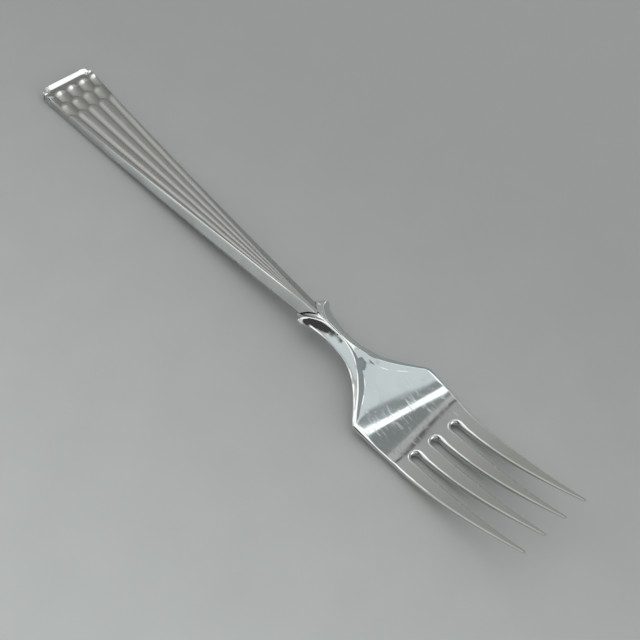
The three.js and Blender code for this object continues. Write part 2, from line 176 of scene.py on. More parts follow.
def tight_line(*points):
    """A curve through (x, value) points that never swings past them."""
    xs, ys = zip(*points)
    last = len(xs) - 1
    steps = [(ys[i + 1] - ys[i]) / (xs[i + 1] - xs[i]) for i in range(last)]
    slopes = [steps[0], *[0.0] * (last - 1), steps[-1]]
    for i in range(1, last):
        if steps[i - 1] * steps[i] > 0:
            slopes[i] = 2 * steps[i - 1] * steps[i] / (steps[i - 1] + steps[i])
    return curve(xs, ys, slopes)


def round_off(distance, radius):
    """How far a rounded edge has fallen at a distance from it."""
    if distance >= radius:
        return 0.0
    return radius - math.sqrt(max(radius**2 - (radius - max(distance, 0.0)) ** 2, 0.0))


def soft_min(first, second, blend):
    """The lower of two heights, with a rounded crease where they meet."""
    near = max(blend - abs(first - second), 0.0) / blend
    return min(first, second) - near**2 * blend / 4


def stations(*stops):
    """Rows between stops. Each stop is (x, steps, power), and a power over 1 crowds the rows at its end."""
    rows = [stops[0]]
    for x, steps, power in stops[1:]:
        first = rows[-1]
        rows += [lerp(first, x, 1 - (1 - (k + 1) / steps) ** power) for k in range(steps)]
    return rows


# Form of the handle, in millimetres from its end. A column is a place across it, from -1 to 1.

FLANK_COLUMN = 0.8
FRONT_COLUMNS = (88, 14)
BACK_COLUMNS = (24, 12)
FLANK_CROWDING = 1.5

NOSE_LENGTH = 5.0
NOSE_BLUNT = 0.3
FLAT_LENGTH = 17.5
SEAM_AT_END, SEAM_RISE = 1.1, 5.0
SEAM_POWER = 1.5
CROWN_RISE = (1.5, 2.2)
BACK_DROP = (1.1, 1.9)
BACK_FLAT = 0.66
BACK_END_ROUND = 1.4
BACK_SQUARENESS = 2.2
END_ROUND = 0.8

# The reeds and the flank outside them
REED_SHARE = 0.5
REED_FADE = 0.7
FLANK_WIDTH = 0.6
FLANK_SWELL = 0.12
LEAST_RIDGE = 0.25
CORNER = (5.0, 1.3)
CORNER_SWELL = 0.9
ARRIS_INNER, ARRIS_OUTER = 0.3, 0.55
ARRIS_GROWS = (25.0, 75.0)
ARRIS_SHINE = (0.5, 0.7)

# The scales, their pearls and the spots rubbed bright
SCALES_START = 3.6
SCALE_ROWS = 3
SCALE_NOSE = 2.2
SCALE_FALL = 0.62
SCALE_DEPTH = 1.15
SCALES_TO_REEDS = (8.0, 20.0)
PEARL_RISES = (0.6, 0.1, 0.0)
PEARL = (1.55, 0.8)
RUBBED_ALONG, RUBBED_ACROSS = (2.3, 0.75), (-0.05, 0.085)

# The plain lip around the end
END_LIP, END_LIP_BLEND = 2.3, 0.35
END_LIP_STOPS = (3.0, 3.6)
END_LIP_RISE = 0.15
END_LIP_SLOPES = (0.385, 0.1)
END_LIP_CORNER = 2.2

# Reach of the bent corners, the bent nose and the end walls
CORNER_BEND = 6.5
NOSE_BEND = 14
END_WALL = 3


def down_flank(column):
    """0 on the reeds, and 0 to 1 from the outer reed down to the seam."""
    return max((abs(column) - FLANK_COLUMN) / (1 - FLANK_COLUMN), 0.0)


class Handle:
    """The handle's plan, seam and reeds."""

    def __init__(self, sizes):
        self.nose = sizes.handle_length / MM
        self.mouth = self.nose - NOSE_LENGTH
        self.end_width = sizes.handle_end_width / MM
        self.nose_width = sizes.handle_nose_width / MM
        self.corner = sizes.handle_corner / MM
        self.depth = sizes.reed_depth / MM
        self.pitch = sizes.scale_pitch / MM
        self.wall = sizes.wall / MM
        self.gap = sizes.seam_gap / MM
        self.nose_line = tight_line(
            (NOSE_BLUNT, self.nose), (0.85, 121.2), (1.35, 120.15), (2.0, 119.2), (2.5, 118.5),
            (2.8, self.mouth + 0.2),
        )

    def half_width(self, x):
        return lerp(self.end_width, self.nose_width, x / self.mouth) / 2

    def ridge(self, x):
        """Half the distance between the two outer reeds."""
        return max(lerp(self.end_width / 2 - FLANK_WIDTH, 0.0, x / self.nose), LEAST_RIDGE)

    def past_flat(self, x):
        """0 on the part that lies flat, rising to 1 at the nose."""
        return clamp((x - FLAT_LENGTH) / (self.nose - FLAT_LENGTH))

    def seam(self, x):
        """Height where the two shells meet."""
        return SEAM_AT_END + SEAM_RISE * self.past_flat(x) ** SEAM_POWER

    def crown(self, x):
        """Height of the tops of the reeds."""
        return self.seam(x) + lerp(*CROWN_RISE, x / self.nose)

    def back(self, x):
        """Height of the back along its middle."""
        return self.seam(x) - lerp(*BACK_DROP, self.past_flat(x))

    def across(self, x, column):
        """From the middle line, with the outer reeds on fixed columns."""
        ridge = self.ridge(x)
        if abs(column) <= FLANK_COLUMN:
            far = ridge * abs(column) / FLANK_COLUMN
        else:
            far = lerp(ridge, self.half_width(x), down_flank(column))
        return math.copysign(far, column)

    def past_corner(self, x, column):
        """How far across a column is past the start of the end's round corner."""
        return abs(self.across(x, column)) - (self.end_width / 2 - self.corner)

    def start(self, column):
        """Where a column starts: on the end, or on a round corner."""
        past = self.past_corner(0.0, column)
        return round_off(self.corner - past, self.corner) if past > 0 else 0.0

    def stop(self, column):
        """Where a column stops: on the pointed nose."""
        return self.nose_line(lerp(NOSE_BLUNT, self.nose_width / 2, down_flank(column)))

    def from_rim(self, x, column):
        """Distance in from the handle's end and its round corners."""
        past = self.past_corner(x, column)
        if past <= 0 or x >= self.corner:
            return x
        return self.corner - math.hypot(self.corner - x, past)

    def relief(self, x, share):
        """Relief of the reeds and scales, 0 in a groove and 1 on a crest, and its wear."""
        height = 0.0
        rubbed = 0.0
        for row in range(SCALE_ROWS):
            along = x - SCALES_START - row * self.pitch
            if along <= 0:
                continue
            aside = 0.0 if row % 2 == 0 else REED_SHARE / 2
            offset = share - aside - REED_SHARE * round((share - aside) / REED_SHARE)
            nose = math.sqrt(1 - (1 - min(along / SCALE_NOSE, 1.0)) ** 2)
            reach = min(abs(offset) / (REED_SHARE / 2 * max(nose, 0.001)), 1.0)
            tail = 1.0 if row == SCALE_ROWS - 1 else max(1 - SCALE_FALL * along / self.pitch, 0.0)
            pearl = PEARL_RISES[row] * bell(along, *PEARL)
            height = max(height, nose * (tail + pearl) * math.cos(reach * math.pi / 2))
            if row == 0:
                rubbed = bell(along, *RUBBED_ALONG) * bell(offset, *RUBBED_ACROSS)
        return height, rubbed

    def end_lip(self, x, column):
        """Share of the plain lip around the end, and its height."""
        inward = self.from_rim(x, column)
        share = 1 - max(ease(inward, END_LIP, END_LIP + END_LIP_BLEND), ease(x, *END_LIP_STOPS))
        corner = ease(self.past_corner(x, column), 0.0, END_LIP_CORNER)
        slope = lerp(*END_LIP_SLOPES, corner)
        return share, self.crown(x) + END_LIP_RISE - slope * inward

    def arris(self, x, column):
        """Drop and shine of the long rounded edge beside the outer reed."""
        past = abs(self.across(x, column)) - self.ridge(x)
        inner = min(ARRIS_INNER, ARRIS_INNER * self.ridge(x))
        near = clamp(1 - past / ARRIS_OUTER if past > 0 else 1 + past / inner)
        grown = ease(x, *ARRIS_GROWS)
        drop = inner * ARRIS_OUTER / (inner + ARRIS_OUTER) / 2 * near**2 * grown
        return drop, ease(near, *ARRIS_SHINE) * grown

    def front(self, x, column):
        """Height of the front, its relief and how far it is rubbed bright."""
        depth = self.depth * (self.ridge(x) / self.ridge(0.0)) ** REED_FADE
        scale_depth = lerp(SCALE_DEPTH, 1.0, ease(x, *SCALES_TO_REEDS)) * depth
        share = min(abs(column) / FLANK_COLUMN, 1.0)
        relief, rubbed = self.relief(x, math.copysign(share, column))
        height = self.crown(x) - scale_depth * (1 - relief)
        lip, lip_height = self.end_lip(x, column)
        height = lerp(height, lip_height, lip)
        relief = lerp(relief, 1.0, lip)
        down = down_flank(column)
        rounding = 1 + CORNER_SWELL * bell(x, *CORNER)
        height = lerp(height, self.seam(x), down**rounding) + FLANK_SWELL * math.sin(down * math.pi)
        drop, shine = self.arris(x, column)
        wall = round_off(x - self.start(column), END_ROUND) / END_ROUND
        return lerp(height - drop, self.seam(x), wall), relief, max(rubbed, lip, shine)

    def rear(self, x, column):
        """Height of the back, turned up to the seam along its sides and end, with no relief or wear."""
        side = clamp((abs(column) - BACK_FLAT) / (1 - BACK_FLAT))
        end = clamp(1 - (x - self.start(column)) / BACK_END_ROUND)
        rise = 1 - math.sqrt(1 - min(side**BACK_SQUARENESS + end**BACK_SQUARENESS, 1.0))
        return lerp(self.back(x), self.seam(x), rise), 1.0, 0.0


def handle_columns(reed_steps, flank_steps):
    """Columns across the handle, from -1 to 1."""
    reeds = [lerp(-FLANK_COLUMN, FLANK_COLUMN, k / reed_steps) for k in range(reed_steps + 1)]
    flank = [lerp(FLANK_COLUMN, 1.0, ((k + 1) / flank_steps) ** FLANK_CROWDING) for k in range(flank_steps)]
    return [-c for c in reversed(flank)] + reeds + flank


# Form of the head, in millimetres from the end of the handle

TINES = 4
TINE_COLUMNS = 24
SLOT_COLUMNS = 8
TINE_PITCH = 6.55
TIP_PITCH = 6.35
ROOT_WIDTH = 4.35
SLOT_RADIUS = (TINE_PITCH - ROOT_WIDTH) / 2
TINE_MIDDLE = 0.45
MIDDLE_HALF = 1.55
TIP_HALF = 0.32
HORN_TIP = 120.6
HORN_HALF = 5.05
COLLAR_END = 131.0
WAIST = 131.5
DISH_START = 139.2
SHOULDER = 151.2
ROOT = 166.2
BELLY = 2.56
CREST_IN = 0.06

# The bowl's rims, their lips, the dish and the hollow flank
RIM_SLOPE = 0.22
LIP_WIDTH = 0.5
LIP_RISE = 0.14
LIP_POWER = 1.3
DISH_WALL = 0.025
DISH_WALL_LOSS = 0.85
DISH_POWERS = (2.0, 8.0)
FLAT_POWER = 12.0
COVE = 0.6
COVE_POWER = 1.8
CREASES = (0.5, 0.26)

# Where one form of the head turns into the next
DISH_SINKS = (137.0, 139.0)
NECK_TO_BOWL = (139.0, 142.5)
COVE_FADES = (138.0, SHOULDER)
LIP_GROWS = (DISH_START, 143.0)
LIP_FADES = (148.0, 151.0)
DISH_SQUARES = (141.0, 150.0)
DISH_WALL_FADES = (149.0, 152.0)
DISH_FLATTENS = (151.0, 158.0)
CREASE_SHARPENS = (140.0, 147.0)
EDGE_GROWS = (140.0, 153.0)

# Rounds on the head's edges
COLLAR_ROUND = 0.1
MOUTH_ROUND = 0.12
TINE_ROUND = 0.5
SLOT_ROUND = 0.85
TINE_ROUND_SHARE = 0.4
TIP_SHARE = 0.45
LEAST_EDGE = 0.05
MOUTH_ROWS = 12
MOUTH_SLOPE, MOUTH_START = 0.6, 0.02
SLOT_BEND = 8
WALL_CUTS = 3


class Head:
    """The head's outline, crest, dish and belly."""

    def __init__(self, sizes):
        self.handle = Handle(sizes)
        self.gap = sizes.mouth_gap / MM
        self.radius = sizes.edge_round / MM
        rise = sizes.tine_rise / MM
        self.tip = FORK_LENGTH / MM
        self.bowl_half = ((TINES - 1) * TINE_PITCH + ROOT_WIDTH) / 2
        self.row_root = ROOT + SLOT_RADIUS - 0.4
        self.edge = tight_line(
            (HORN_TIP, HORN_HALF), (121.4, 4.85), (122.4, 4.1), (123.9, 3.55), (125.5, 3.2), (128.5, 2.76),
            (130.5, 2.66), (133, 2.76), (136, 3.1), (140.5, 4.6), (143.5, 6.4), (146.5, 8.8), (149, 11.1),
            (150.5, 12.5), (151.5, 12.95), (152.6, 12.9), (158, 12.5), (ROOT, self.bowl_half),
            (self.tip, self.bowl_half),
        )
        self.edge_drop = tight_line(
            (HORN_TIP, 0.15), (122, 1.07), (123.5, 1.58), (125.5, 1.98), (128.5, 2.33), (132.5, 2.5),
            (136.5, 2.1), (140.5, 1.5), (143.5, 0.95), (146.5, 0.74), (149, 0.6), (SHOULDER, 0.45),
            (156, 0.2), (ROOT, 0.06),
        )
        horn = (
            (HORN_TIP, HORN_HALF), (120.85, 3.43), (121.3, 2.75), (121.95, 2.28), (123.15, 1.69),
            (124.4, 1.15), (125.5, 0.75), (127, 0.45), (129, 0.31),
        )
        self.crest = tight_line(
            *horn, (130, 0.29), (133, 0.42), (134.5, 0.62), (136.4, 1.0), (138.4, 1.6), (141, 2.85),
            (145, 5.75), (149.9, 10.5), (SHOULDER, 11.8), (153, 12.2), (157, 12.35), (160, 12.3),
            (ROOT, self.bowl_half - CREST_IN), (self.tip, self.bowl_half - CREST_IN),
        )
        self.crest_station = tight_line(
            (0.0, COLLAR_END), (0.28, 130.6), *[(across, x) for x, across in reversed(horn)]
        )
        self.ridge_height = fair_line(
            (HORN_TIP, 7.5), (121.3, 7.7), (122.1, 7.88), (124.5, 8.2), (128, 8.42), (WAIST, 8.45),
            (135, 8.1), (138.4, 7.5), (140.5, 6.93), (142, 6.35), (144, 5.7),
        )
        tines = (
            (168.5, 0.010), (171.2, 0.039), (176.2, 0.126), (181.2, 0.245), (186.2, 0.389), (191.2, 0.556),
            (196.2, 0.745), (self.tip, 1.03),
        )
        self.dish_line = fair_line(
            (137.5, 7.45), (138.5, 7.26), (139.5, 6.9), (140.4, 6.42), (141.3, 6.02), (143, 5.46),
            (145.5, 4.81), (148.5, 4.17), (SHOULDER, 3.68), (153, 3.40), (156, 3.01), (159, 2.76),
            (161.5, 2.635), (164, 2.57), (ROOT, BELLY), *[(x, BELLY + share * rise) for x, share in tines],
        )
        self.mouth_height = tight_line(
            (0.0, 8.2), (0.4, 7.95), (0.85, 7.55), (1.5, 6.95), (2.95, 5.95), (3.4, 6.1), (HORN_HALF, 7.3)
        )
        self.rim_width = tight_line(
            (WAIST, 0.32), (137, 0.95), (138.5, 1.05), (140, 1.2), (141.5, 1.8), (143, 2.3), (145.5, 2.3),
            (148.5, 1.6), (150.3, 0.8), (151.6, 0.3), (155, 0.12),
        )
        self.thickness = tight_line(
            (HORN_TIP, 3.6), (124, 4.0), (WAIST, 4.4), (141, 3.2), (SHOULDER, 2.3), (162, 2.5), (ROOT, 2.53),
            (self.tip, 0.7),
        )
        self.side_wall = tight_line(
            (HORN_TIP, 1.2), (124, 0.6), (WAIST, 0.5), (145, 0.6), (SHOULDER, 1.2), (ROOT, 1.3),
            (self.tip, 0.6),
        )
        self.taper = tight_line(
            (self.row_root, ROOT_WIDTH / 2), (lerp(ROOT, self.tip, TINE_MIDDLE), MIDDLE_HALF),
            (self.tip, TIP_HALF),
        )

    def mouth(self, across):
        """The head's edge around the nose of the handle, and the blunt backs of the horns."""
        far = abs(across)
        arch = self.handle.nose_line(far - self.gap) + self.gap
        bend = self.handle.nose_width / 2 + 2 * self.gap
        return lerp(arch, HORN_TIP, max(far - bend, 0.0) / (HORN_HALF - bend))

    def rim(self, x):
        """Height of the crest: the neck's ridge, then the bowl's two rims and the tines."""
        wall = DISH_WALL * (1 - DISH_WALL_LOSS * ease(x, *DISH_WALL_FADES))
        bowl = self.dish_line(x) + RIM_SLOPE * self.rim_width(x) + wall
        return lerp(self.ridge_height(x), bowl, ease(x, *NECK_TO_BOWL))

    def dish_depth(self, x):
        """Depth of the dish below the inside of its rims."""
        return max(self.rim(x) - RIM_SLOPE * self.rim_width(x) - self.dish_line(x), 0.0)

    def collar(self, x, far):
        """Height of the collar's face between the handle's nose and the crest."""
        crest_x = self.crest_station(far)
        mouth = self.mouth(far)
        share = (x - mouth) / max(crest_x - mouth, 0.01)
        ridge = self.rim(crest_x) - RIM_SLOPE * max(self.crest(crest_x) - far, 0.0)
        return lerp(self.mouth_height(far), ridge, share)

    def flank(self, x, far):
        """Height of the outer face, which falls from the crest to the edge."""
        crest = self.crest(x)
        share = (far - crest) / max(self.edge(x) - crest, 0.01)
        hollow = 1 - (1 - min(share, 1.0)) ** COVE_POWER
        cove = COVE * (1 - ease(x, *COVE_FADES))
        return self.rim(x) - self.edge_drop(x) * lerp(share, hollow, cove)

    def dish(self, x, far):
        """Height of the neck's groove, the bowl's rims and the dish between them."""
        crest = self.crest(x)
        rim_width = self.rim_width(x)
        inner = max(crest - rim_width, 0.001)
        if far >= inner:
            fall = clamp((crest - far) / max(rim_width - LIP_WIDTH, 0.2))
            rise = clamp(1 - (far - inner) / LIP_WIDTH) ** LIP_POWER
            lip = LIP_RISE * ease(x, *LIP_GROWS) * (1 - ease(x, *LIP_FADES))
            return self.rim(x) - RIM_SLOPE * (crest - far) - lip * (fall - rise)
        power = lerp(*DISH_POWERS, ease(x, *DISH_SQUARES))
        power += FLAT_POWER * ease(x, *DISH_FLATTENS)
        inner_height = self.rim(x) - RIM_SLOPE * rim_width
        depth = self.dish_depth(x) * ease(x, *DISH_SINKS)
        return inner_height - depth * (1 - (far / inner) ** power)

    def top(self, x, across):
        """Height of the upper side."""
        far = abs(across)
        inside = self.collar(x, far) if x < COLLAR_END else self.dish(x, far)
        crease = lerp(*CREASES, ease(x, *CREASE_SHARPENS))
        return soft_min(inside, self.flank(x, far), crease)

    def low(self, x, across):
        """Height of the underside."""
        middle = self.rim(x) - self.thickness(x)
        if x >= DISH_START:
            middle -= self.dish_depth(x)
        side = self.rim(x) - self.edge_drop(x) - self.side_wall(x)
        return lerp(middle, max(side, middle), min(abs(across) / self.edge(x), 1.0) ** 2)

    def tine_half(self, x):
        """Half the width of a tine, down to its round tip."""
        close = clamp((x - self.tip + TIP_HALF) / TIP_HALF)
        return self.taper(x) * math.sqrt(1 - 0.97 * close**2)

    def edge_radius(self, x, by_slot):
        """Radius of the nearest edge, larger along the tines and at the slots' ends."""
        root = self.row_root
        radius = lerp(COLLAR_ROUND, self.radius, ease(x, *EDGE_GROWS))
        radius = lerp(radius, TINE_ROUND, ease(x, root - 3.0, root - 1.5))
        slot_end = ease(x, root - 2.6, root - 1.3) * (1 - ease(x, root, root + 3.0))
        return lerp(radius, SLOT_ROUND, slot_end) if by_slot else radius


def head_column(index):
    """Tine or slot of a column, and its place there from -1 to 1."""
    number, inside = divmod(index, TINE_COLUMNS + SLOT_COLUMNS)
    if inside <= TINE_COLUMNS:
        return number, True, math.sin((inside / TINE_COLUMNS - 0.5) * math.pi)
    return number, False, math.sin(((inside - TINE_COLUMNS) / SLOT_COLUMNS - 0.5) * math.pi)


# Meshes


def index_sheet(rows, columns):
    """A flat sheet whose points count its rows along x and its columns along y."""
    bm = bmesh.new()
    bmesh.ops.create_grid(bm, x_segments=rows - 1, y_segments=columns - 1, size=0.5)
    bmesh.ops.translate(bm, verts=bm.verts[:], vec=(0.5, 0.5, 0.0))
    bmesh.ops.scale(bm, verts=bm.verts[:], vec=(rows - 1, columns - 1, 1.0))
    return bm


def add_under_side(bm, wall_cuts):
    """Gives the sheet a second side, one count up in z, and a wall around its rim."""
    made = bmesh.ops.extrude_face_region(bm, geom=bm.faces[:], use_keep_orig=True)
    moved = [part for part in made["geom"] if isinstance(part, bmesh.types.BMVert)]
    bmesh.ops.translate(bm, verts=moved, vec=(0.0, 0.0, 1.0))
    if wall_cuts:
        walls = [e for e in bm.edges if abs(e.verts[0].co.z - e.verts[1].co.z) > 0.5]
        bmesh.ops.subdivide_edges(bm, edges=walls, cuts=wall_cuts, use_grid_fill=True)


def add_object(name, data):
    """Puts a mesh, a lamp or a camera in the scene."""
    made = bpy.data.objects.new(name, data)
    bpy.context.scene.collection.objects.link(made)
    return made


def add_mesh(bm, name, material):
    """Puts a finished mesh in the scene."""
    mesh = bpy.data.meshes.new(name)
    bm.to_mesh(mesh)
    bm.free()
    mesh.materials.append(material)
    return add_object(name, mesh)


def finish_piece(bm, name, material, node):
    """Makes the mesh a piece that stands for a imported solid."""
    bmesh.ops.recalc_face_normals(bm, faces=bm.faces[:])
    piece = add_mesh(bm, name, material)
    piece.data.shade_smooth()
    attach(piece, "root")
    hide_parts(node)


def fork_point(x, across, height):
    """A point of the fork in metres, from millimetres along, across and up."""
    return Vector((x * MM - FORK_LENGTH / 2, across * MM, height * MM))


def front_rows(form):
    """Rows along the handle's front, crowded at its end and around the scales."""
    return stations(
        0.0, (0.5, 8, 0.5), (3.4, 20, 1), (22.0, 112, 1), (60.0, 44, 1), (form.mouth, 50, 1),
        (form.nose, 24, 1),
    )


def back_rows(form):
    """Rows along the handle's back, crowded at its end."""
    return stations(0.0, (1.6, 12, 0.6), (22.0, 24, 1), (form.mouth, 60, 1), (form.nose, 16, 1))


def shell_x(form, row, column):
    """Where a row meets a column, with the end's corners and the nose bent in."""
    corner = form.start(column) * clamp(1 - row / CORNER_BEND) ** 2
    nose = (form.nose - form.stop(column)) * clamp((row - form.nose + NOSE_BEND) / NOSE_BEND) ** 2
    return row + corner - nose


def handle_shell(form, rows, columns, surface, inwards):
    """A doubled sheet bent into a shell of the handle. Inwards is -1 for the front and 1 for the back."""
    bm = index_sheet(len(rows), len(columns))
    add_under_side(bm, 0)
    relief_layer = bm.verts.layers.float.new("relief")
    rubbed_layer = bm.verts.layers.float.new("rubbed")
    for vert in bm.verts:
        row = rows[round(vert.co.x)]
        column = columns[round(vert.co.y)]
        inner = round(vert.co.z)
        x = shell_x(form, row, column)
        across = form.across(min(x, form.mouth), column)
        height, vert[relief_layer], vert[rubbed_layer] = surface(x, column)
        seam = form.seam(x) - inwards * form.gap / 2
        if inner:
            half = form.half_width(min(x, form.mouth))
            across *= (half - form.wall) / half
            from_nose = row - form.nose + END_WALL
            x += form.wall * (clamp(1 - row / END_WALL) ** 2 - clamp(from_nose / END_WALL) ** 2)
            height += inwards * form.wall
        height = min(height, seam) if inwards > 0 else max(height, seam)
        vert.co = fork_point(x, across, height)
    return bm


def head_rows(form):
    """Rows along the head, and the number of the one where the slots start."""
    before = stations(
        HORN_TIP, (WAIST, 72, 1), (152.0, 100, 1), (form.row_root - 1.2, 84, 1), (form.row_root, 8, 1)
    )
    after = stations(form.row_root, (form.tip - 0.6, 56, 1), (form.tip, 10, 2))
    return before + after[1:], len(before) - 1


def tine_place(form, row, column):
    """Where a row and a column meet on a tine, how far from its edge, and whether a slot has that edge."""
    number, _, aside = head_column(column)
    share = clamp((row - ROOT) / (form.tip - ROOT))
    middle = (number - (TINES - 1) / 2) * lerp(TINE_PITCH, TIP_PITCH, share)
    half = form.tine_half(row)
    outer = (number == 0 and aside < 0) or (number == TINES - 1 and aside > 0)
    return row, middle + aside * half, half * (1 - abs(aside)), not outer


def bowl_place(form, row, column):
    """The same behind the tines."""
    number, on_tine, aside = head_column(column)
    spot = number - (TINES - 1) / 2
    if on_tine:
        at_root = spot * TINE_PITCH + aside * ROOT_WIDTH / 2
    else:
        at_root = (spot + 0.5) * TINE_PITCH + aside * SLOT_RADIUS
    share = at_root / form.bowl_half
    collar = clamp(1 - (row - HORN_TIP) / (WAIST - HORN_TIP)) ** 2
    x = row + (form.mouth(share * HORN_HALF) - HORN_TIP) * collar
    if not on_tine:
        bend = clamp((row - form.row_root + SLOT_BEND) / SLOT_BEND) ** 2
        x -= SLOT_RADIUS * math.sqrt(1 - aside**2) * bend
    across = share * form.edge(row)
    from_edge = form.edge(row) * (1 - abs(share))
    slots = [(slot - (TINES - 2) / 2) * TINE_PITCH for slot in range(TINES - 1)]
    from_slot = min(math.hypot(x - form.row_root, across - middle) for middle in slots) - SLOT_RADIUS
    return x, across, min(from_edge, from_slot), from_slot < from_edge


def shape_head(bm, form, rows, root):
    """Bends a doubled sheet into the head. Root is the row where the slots start."""
    for vert in bm.verts:
        index = round(vert.co.x)
        place = tine_place if index > root else bowl_place
        x, across, near, by_slot = place(form, rows[index], round(vert.co.y))
        radius = form.edge_radius(x, by_slot)
        if index > root:
            radius = min(radius, form.tine_half(x), TINE_ROUND_SHARE * form.thickness(x))
            near = min(near, (form.tip - x) * TIP_SHARE)
        if index < MOUTH_ROWS:
            near = min(near, MOUTH_SLOPE * (x - form.mouth(across)) + MOUTH_START)
            radius = min(radius, MOUTH_ROUND)
        fall = round_off(near, radius)
        high = form.top(x, across) - fall
        low = min(form.low(x, across) + fall, high - LEAST_EDGE)
        vert.co = fork_point(x, across, lerp(high, low, vert.co.z))


# Materials

COARSE_SCRATCHES = {"Scale": 45.0, "Width": 0.03}
FINE_SCRATCHES = {"Scale": 140.0, "Width": 0.05}
BACK_SCRATCHES = {"Scale": 60.0, "Width": 0.04}
SCRATCH_TURNS = ((0.5, 0.0), (-0.9, 3.1), (1.7, 7.7))
SCRATCH_STRETCH = (1.0, 14.0, 1.0)
DRAWN_GRAIN = (60.0, 3200.0, 3200.0)
GRIT = 2600.0
BACK_ROUGHNESS = (0.12, 0.26)
HEAD_DULLING = 0.9
# Painted shade: the steel of the tines is darkened from where they start to their tips
TINE_SHADE = (0.81, 0.8, 0.76)
TINES_SHADED = (0.064, 0.084)
BACK_DULLING = 0.82
RUBBED_POLISH = 0.2
CEMENT_PALE = 1.35
# Painted light on the floor: paler on its lit side towards -Y, darker towards +Y
FLOOR_LIT, FLOOR_SHADED = 1.62, 0.93
FLOOR_LIGHT_FADES = (-0.19, 0.1)


def add(tree, kind, settings, inputs):
    """Adds a node. An input that is a socket is linked, and any other is set."""
    made = tree.nodes.new(kind)
    for name, value in settings.items():
        setattr(made, name, value)
    for name, value in inputs.items():
        if isinstance(value, bpy.types.NodeSocket):
            tree.links.new(value, made.inputs[name])
        else:
            made.inputs[name].default_value = value
    return made


def math_node(tree, operation, first, second):
    return add(tree, "ShaderNodeMath", {"operation": operation}, {0: first, 1: second}).outputs[0]


def times(tree, first, second):
    return math_node(tree, "MULTIPLY", first, second)


def plus(tree, base, extra, share):
    """The base with a share of something extra on it."""
    return math_node(tree, "ADD", base, times(tree, extra, share))


def spread(tree, value, low, high, to_low=0.0, to_high=1.0):
    """Maps a value smoothly from one range to another."""
    settings = {"interpolation_type": "SMOOTHSTEP"}
    inputs = {"Value": value, "From Min": low, "From Max": high, "To Min": to_low, "To Max": to_high}
    return add(tree, "ShaderNodeMapRange", settings, inputs).outputs["Result"]


def mix(tree, share, first, second):
    """A mix of two colours."""
    inputs = {0: share, 6: first, 7: second}
    return add(tree, "ShaderNodeMix", {"data_type": "RGBA"}, inputs).outputs[2]


def noise(tree, place, scale, detail, distortion=0.0):
    inputs = {"Vector": place, "Scale": scale, "Detail": detail, "Distortion": distortion}
    return add(tree, "ShaderNodeTexNoise", {}, inputs).outputs["Fac"]


def split(tree, place):
    """The three parts of a place."""
    return add(tree, "ShaderNodeSeparateXYZ", {}, {"Vector": place}).outputs


def stretched(tree, place, scale, turn=0.0, shift=0.0):
    """Coordinates stretched and turned about the upright axis."""
    inputs = {"Vector": place, "Scale": scale, "Rotation": (0.0, 0.0, turn), "Location": (shift,) * 3}
    return add(tree, "ShaderNodeMapping", {}, inputs).outputs["Vector"]


def attribute(tree, name):
    return add(tree, "ShaderNodeAttribute", {"attribute_name": name}, {}).outputs["Fac"]


def bump(tree, height, strength, distance):
    inputs = {"Height": height, "Strength": strength, "Distance": distance}
    return add(tree, "ShaderNodeBump", {}, inputs).outputs["Normal"]


def toned(base, *shares):
    """A colour times one share, or a share for each channel, up to white."""
    shares = shares * 3 if len(shares) == 1 else shares
    return tuple(min(channel * share, 1.0) for channel, share in zip(base[:3], shares)) + (1.0,)


def new_group(name, inputs, outputs):
    """An empty node group with its named inputs and outputs."""
    tree = bpy.data.node_groups.new(name, "ShaderNodeTree")
    tree.interface.new_socket("Place", in_out="INPUT", socket_type="NodeSocketVector")
    for label, default in inputs.items():
        socket = tree.interface.new_socket(label, in_out="INPUT", socket_type="NodeSocketFloat")
        socket.default_value = default
    for label in outputs:
        tree.interface.new_socket(label, in_out="OUTPUT", socket_type="NodeSocketFloat")
    start = tree.nodes.new("NodeGroupInput")
    end = tree.nodes.new("NodeGroupOutput")
    return tree, start.outputs, end.inputs


def scratches_group(name):
    """Fine curved scratches, broken into short strokes."""
    tree, start, end = new_group(name, {"Scale": 90.0, "Width": 0.006}, ["Scratches"])
    lines = []
    for turn, shift in SCRATCH_TURNS:
        place = stretched(tree, start["Place"], SCRATCH_STRETCH, turn, shift)
        inputs = {"Vector": place, "Scale": start["Scale"]}
        cells = add(tree, "ShaderNodeTexVoronoi", {"feature": "DISTANCE_TO_EDGE"}, inputs)
        line = spread(tree, cells.outputs["Distance"], 0.0, start["Width"], 1.0, 0.0)
        bend = stretched(tree, start["Place"], (1.0, 1.0, 1.0), turn, shift + 1.3)
        breaks = noise(tree, bend, times(tree, start["Scale"], 4.0), 1.0)
        lines.append(times(tree, line, spread(tree, breaks, 0.57, 0.67)))
    total = math_node(tree, "MAXIMUM", math_node(tree, "MAXIMUM", lines[0], lines[1]), lines[2])
    tree.links.new(total, end["Scratches"])
    return tree


def handling_group(name):
    """Uneven polish from handling: broad smudges and a fine haze."""
    tree, start, end = new_group(name, {"Low": 0.05, "High": 0.12}, ["Roughness", "Smudge"])
    smudge = spread(tree, noise(tree, start["Place"], 85.0, 4.0, 0.8), 0.35, 0.7)
    haze = noise(tree, start["Place"], 1400.0, 3.0)
    both = plus(tree, times(tree, smudge, 0.75), haze, 0.25)
    tree.links.new(spread(tree, both, 0.0, 1.0, start["Low"], start["High"]), end["Roughness"])
    tree.links.new(smudge, end["Smudge"])
    return tree


def use_group(tree, name, make, place, inputs):
    """Adds a node group, which is made at its first use."""
    group = bpy.data.node_groups.get(name) or make(name)
    return add(tree, "ShaderNodeGroup", {"node_tree": group}, {"Place": place, **inputs}).outputs


def scratches(tree, place, inputs):
    return use_group(tree, "fine scratches", scratches_group, place, inputs)["Scratches"]


def handling(tree, place, low, high):
    return use_group(tree, "handling marks", handling_group, place, {"Low": low, "High": high})


